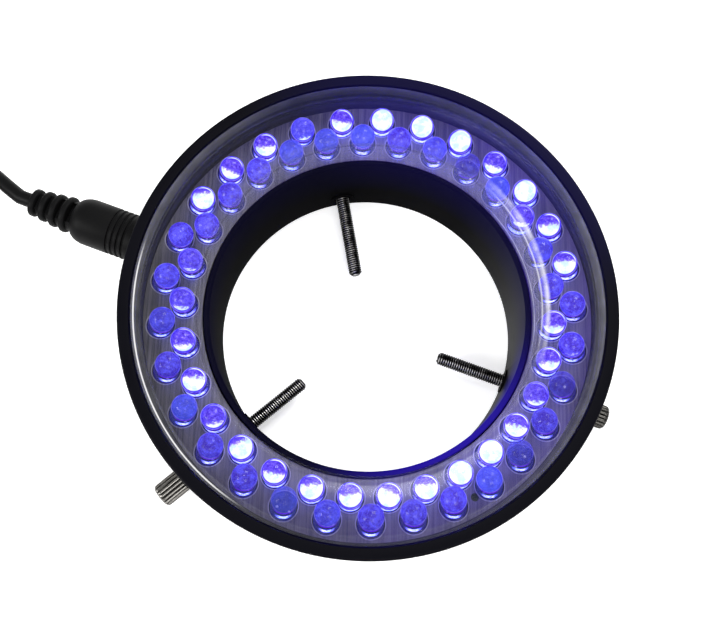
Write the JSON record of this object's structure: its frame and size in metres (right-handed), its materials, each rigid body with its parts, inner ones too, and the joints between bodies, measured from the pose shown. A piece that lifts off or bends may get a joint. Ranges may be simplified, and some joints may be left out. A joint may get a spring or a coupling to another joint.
{
  "type": "microscope ring light",
  "caption": "Round ring light for a microscope: tilted blue LEDs under a clear cover in a black ring, held on by radial thumbscrews and fed by a plug and cord.",
  "frame": {"origin": "on the ring's axis, in the plane of the back face that the ring lies on", "axes": "+Z along the bore's axis, out of the LED face; +X towards the right of the picture and +Y towards its top, so the power jack lies at 161 degrees from +X"},
  "size_m": [0.1992, 0.1052, 0.029],
  "materials": {
    "black_housing": "satin black moulded plastic",
    "clear_cover": "clear polished plastic",
    "brushed_plate": "straight brushed",
    "blue_leds": "clear blue epoxy lenses",
    "resistor_black": "matte",
    "dark_steel": "threaded dark steel",
    "bright_steel": "bright plated steel",
    "brass": "turned",
    "nickel": "nickel plated",
    "jack_plastic": "matte black",
    "plug_rubber": "matte black moulded vinyl",
    "cord_black": "satin black vinyl sheath",
    "tie_black": "matte black"
  },
  "bodies": {
    "ring": {"housing": "black_housing", "led_board": "blue_leds", "reflector_plate": "brushed_plate", "clear_cover": "clear_cover", "threaded_insert_1": "brass", "threaded_insert_2": "brass", "threaded_insert_3": "brass", "jack_body": "jack_plastic", "jack_pin": "nickel", "jack_spring": "brass", "resistor_01": "resistor_black", "resistor_02": "resistor_black", "resistor_03": "resistor_black", "resistor_04": "resistor_black", "resistor_05": "resistor_black", "resistor_06": "resistor_black", "resistor_07": "resistor_black", "resistor_08": "resistor_black", "resistor_09": "resistor_black", "resistor_10": "resistor_black", "resistor_11": "resistor_black", "resistor_12": "resistor_black", "resistor_13": "resistor_black", "resistor_14": "resistor_black", "resistor_15": "resistor_black", "resistor_16": "resistor_black", "resistor_17": "resistor_black", "resistor_18": "resistor_black", "resistor_19": "resistor_black", "resistor_20": "resistor_black", "ring_plug_body": "plug_rubber", "ring_plug_sleeve": "nickel", "ring_plug_tip_tube": "jack_plastic", "cord_lead": "cord_black", "cord_coil": "cord_black", "cord_tail": "cord_black", "cord_tie": "tie_black", "far_plug_body": "plug_rubber", "far_plug_sleeve": "nickel", "far_plug_tip_tube": "jack_plastic"},
    "screw_1": {"screw_shank_1": "dark_steel"},
    "knob_1": {"knurled_knob_1": "bright_steel"},
    "screw_2": {"screw_shank_2": "dark_steel"},
    "knob_2": {"knurled_knob_2": "bright_steel"},
    "screw_3": {"screw_shank_3": "dark_steel"},
    "knob_3": {"knurled_knob_3": "bright_steel"}
  },
  "joints": [
    {"name": "screw_travel_1", "type": "slide", "parent": "ring", "child": "screw_1", "axis": [-0.1977, 0.9803, 0], "range_m": [0, 0.0185]},
    {"name": "knob_turn_1", "type": "hinge", "parent": "screw_1", "child": "knob_1", "pos_m": [0, 0, 0.004], "axis": [-0.1977, 0.9803, 0], "range_deg": [0, 13320]},
    {"name": "screw_travel_2", "type": "slide", "parent": "ring", "child": "screw_2", "axis": [-0.7501, -0.6613, 0], "range_m": [-0.00445, 0.01405]},
    {"name": "knob_turn_2", "type": "hinge", "parent": "screw_2", "child": "knob_2", "pos_m": [0, 0, 0.004], "axis": [-0.7501, -0.6613, 0], "range_deg": [-3204, 10116]},
    {"name": "screw_travel_3", "type": "slide", "parent": "ring", "child": "screw_3", "axis": [0.9478, -0.319, 0], "range_m": [-0.0034, 0.0151]},
    {"name": "knob_turn_3", "type": "hinge", "parent": "screw_3", "child": "knob_3", "pos_m": [0, 0, 0.004], "axis": [0.9478, -0.319, 0], "range_deg": [-2448, 10872]}
  ],
  "couplings": [
    {"joint": "knob_turn_1", "follows": "screw_travel_1", "rad_per_m": 12566},
    {"joint": "knob_turn_2", "follows": "screw_travel_2", "rad_per_m": 12566},
    {"joint": "knob_turn_3", "follows": "screw_travel_3", "rad_per_m": 12566}
  ]
}
